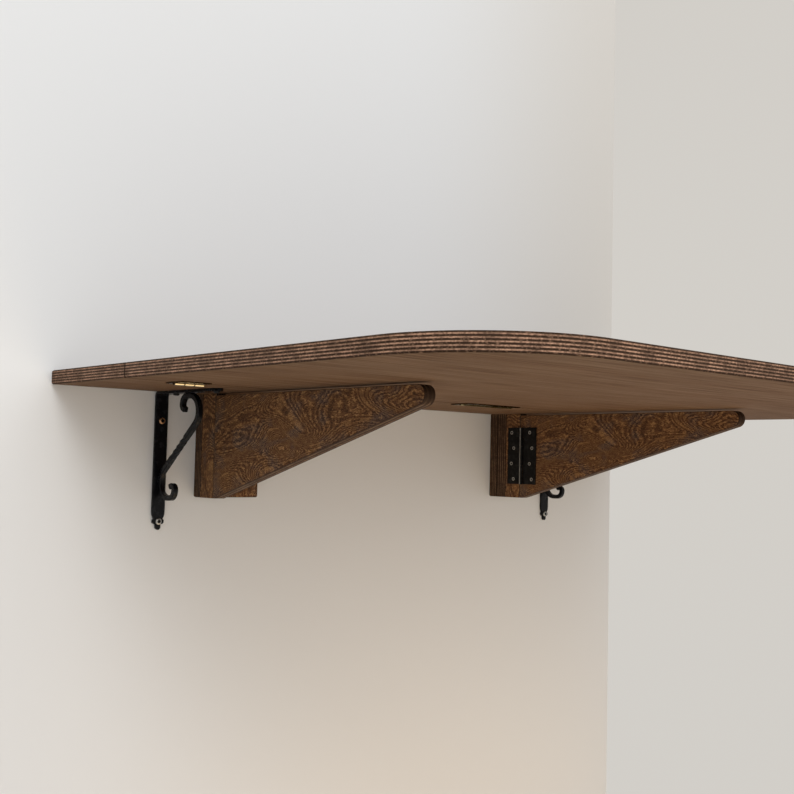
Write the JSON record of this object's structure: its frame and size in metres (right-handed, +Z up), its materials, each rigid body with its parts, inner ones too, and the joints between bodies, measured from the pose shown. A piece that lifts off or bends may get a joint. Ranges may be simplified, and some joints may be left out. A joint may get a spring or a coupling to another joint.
{
  "type": "wall mounted drop leaf table",
  "caption": "Plywood wall table with a hinged drop leaf on swinging gate arms, held by wooden wall plates and scrolled iron brackets.",
  "frame": {"origin": "middle of the shelf board's rear edge, on its underside, where it meets the wall", "axes": "+X along the wall to the right as seen from the room, +Y into the wall, +Z up; the table stands out along -Y"},
  "size_m": [1.2, 0.856, 0.2175],
  "materials": {
    "top_plywood": "satin stained face, clear ply edges",
    "bracket_walnut": "satin walnut-stained figured veneer",
    "black_iron": "satin black",
    "black_steel": "satin black",
    "bright_pin": "bright",
    "zinc_screw": "bright zinc",
    "brass_hinge": "polished",
    "brass_screw": "polished"
  },
  "bodies": {
    "wall_frame": {"left_arm_hinge_fixed_leaf": "black_steel", "left_arm_hinge_fixed_screws": "zinc_screw", "left_arm_hinge_pin": "bright_pin", "left_flap_hinge_fixed_leaf": "brass_hinge", "left_flap_hinge_fixed_screws": "brass_screw", "left_flap_hinge_pin": "brass_hinge", "left_hinge_post": "bracket_walnut", "left_iron_angle": "black_iron", "left_iron_scroll": "black_iron", "left_iron_shelf_screws": "black_steel", "left_iron_tip_screw": "zinc_screw", "left_iron_top_screw": "brass_screw", "left_post_screws": "zinc_screw", "left_wall_plate": "bracket_walnut", "middle_flap_hinge_fixed_leaf": "brass_hinge", "middle_flap_hinge_fixed_screws": "brass_screw", "middle_flap_hinge_pin": "brass_hinge", "right_arm_hinge_fixed_leaf": "black_steel", "right_arm_hinge_fixed_screws": "zinc_screw", "right_arm_hinge_pin": "bright_pin", "right_flap_hinge_fixed_leaf": "brass_hinge", "right_flap_hinge_fixed_screws": "brass_screw", "right_flap_hinge_pin": "brass_hinge", "right_hinge_post": "bracket_walnut", "right_iron_angle": "black_iron", "right_iron_scroll": "black_iron", "right_iron_shelf_screws": "black_steel", "right_iron_tip_screw": "zinc_screw", "right_iron_top_screw": "brass_screw", "right_packer": "bracket_walnut", "right_post_screws": "zinc_screw", "right_wall_plate": "bracket_walnut", "shelf_board": "top_plywood"},
    "left_arm": {"left_arm": "bracket_walnut", "left_arm_hinge_moving_leaf": "black_steel", "left_arm_hinge_moving_screws": "zinc_screw"},
    "right_arm": {"right_arm": "bracket_walnut", "right_arm_hinge_moving_leaf": "black_steel", "right_arm_hinge_moving_screws": "zinc_screw"},
    "drop_leaf": {"drop_leaf_board": "top_plywood", "left_flap_hinge_moving_leaf": "brass_hinge", "left_flap_hinge_moving_screws": "brass_screw", "middle_flap_hinge_moving_leaf": "brass_hinge", "middle_flap_hinge_moving_screws": "brass_screw", "right_flap_hinge_moving_leaf": "brass_hinge", "right_flap_hinge_moving_screws": "brass_screw"}
  },
  "joints": [
    {"name": "left_arm_swing", "type": "hinge", "parent": "wall_frame", "child": "left_arm", "pos_m": [-0.3522, -0.0575, -0.076], "axis": [0, 0, 1], "range_deg": [0, 90]},
    {"name": "right_arm_swing", "type": "hinge", "parent": "wall_frame", "child": "right_arm", "pos_m": [0.2563, -0.0795, -0.076], "axis": [0, 0, 1], "range_deg": [-90, 0]},
    {"name": "drop_leaf_lift", "type": "hinge", "parent": "wall_frame", "child": "drop_leaf", "pos_m": [0, -0.2055, -0.0007], "axis": [-1, 0, 0], "range_deg": [0, 2]}
  ]
}
